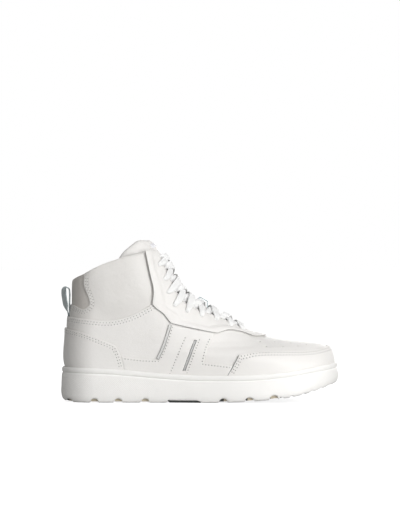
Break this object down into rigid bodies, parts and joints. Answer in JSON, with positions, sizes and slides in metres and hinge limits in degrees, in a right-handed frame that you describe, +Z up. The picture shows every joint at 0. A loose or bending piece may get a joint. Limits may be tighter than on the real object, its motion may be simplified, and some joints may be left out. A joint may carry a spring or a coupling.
{
  "type": "basketball high top",
  "caption": "Lace-up high-top basketball shoe with a cupsole, layered leather upper, padded collar and tongue, crossed flat lace and a heel pull tab.",
  "frame": {"origin": "on the ground, under the middle of the sole", "axes": "+X towards the toe, +Z up, -Y the outer side of this right shoe"},
  "size_m": [0.3, 0.1108, 0.1741],
  "materials": {
    "white_leather": "satin, fine grain",
    "sole_rubber": "matte with a fine textured band",
    "midsole_foam": "closed-cell foam",
    "padding_foam": "open-cell foam",
    "fibre_board": "pressed fibre",
    "white_textile": "woven",
    "teal_webbing": "woven webbing",
    "dark_mesh": "open mesh",
    "lace_tip": "clear film"
  },
  "bodies": {
    "shoe": {"eyestay_outer": "white_leather", "eyestay_inner": "white_leather", "vamp": "white_leather", "quarter_outer": "white_leather", "quarter_inner": "white_leather", "collar_panel_outer": "white_leather", "collar_panel_inner": "white_leather", "heel_tab": "white_leather", "heel_overlay": "white_leather", "side_overlay_outer": "white_leather", "side_overlay_inner": "white_leather", "toe_overlay": "white_leather", "tongue_skin": "white_leather", "outsole": "sole_rubber", "midsole": "midsole_foam", "collar_foam": "padding_foam", "tongue_foam": "padding_foam", "lasting_board": "fibre_board", "heel_counter": "fibre_board", "toe_puff": "fibre_board", "quarter_lining": "white_textile", "vamp_lining": "white_textile", "tongue_lining": "white_textile", "lace": "white_textile", "pull_tab_anchor": "teal_webbing", "lace_keeper": "teal_webbing", "slot_mesh_outer": "dark_mesh", "slot_mesh_inner": "dark_mesh", "aglet_one": "lace_tip", "aglet_two": "lace_tip"},
    "pull_tab": {"pull_tab": "teal_webbing"},
    "tongue_top": {"tongue_flap": "white_leather", "tongue_label": "white_textile"},
    "sockliner": {"sockliner": "white_textile"}
  },
  "joints": [
    {"name": "pull_tab_swing", "type": "hinge", "parent": "shoe", "child": "pull_tab", "pos_m": [-0.1425, -0.0022, 0.095], "axis": [0, -1, 0], "range_deg": [0, 65]},
    {"name": "tongue_top_bend", "type": "hinge", "parent": "shoe", "child": "tongue_top", "pos_m": [-0.0466, -0.0022, 0.1647], "axis": [0, 1, 0], "range_deg": [0, 30]},
    {"name": "sockliner_lift", "type": "hinge", "parent": "shoe", "child": "sockliner", "pos_m": [0.133, 0, 0.0295], "axis": [0, 1, 0], "range_deg": [0, 5]}
  ]
}
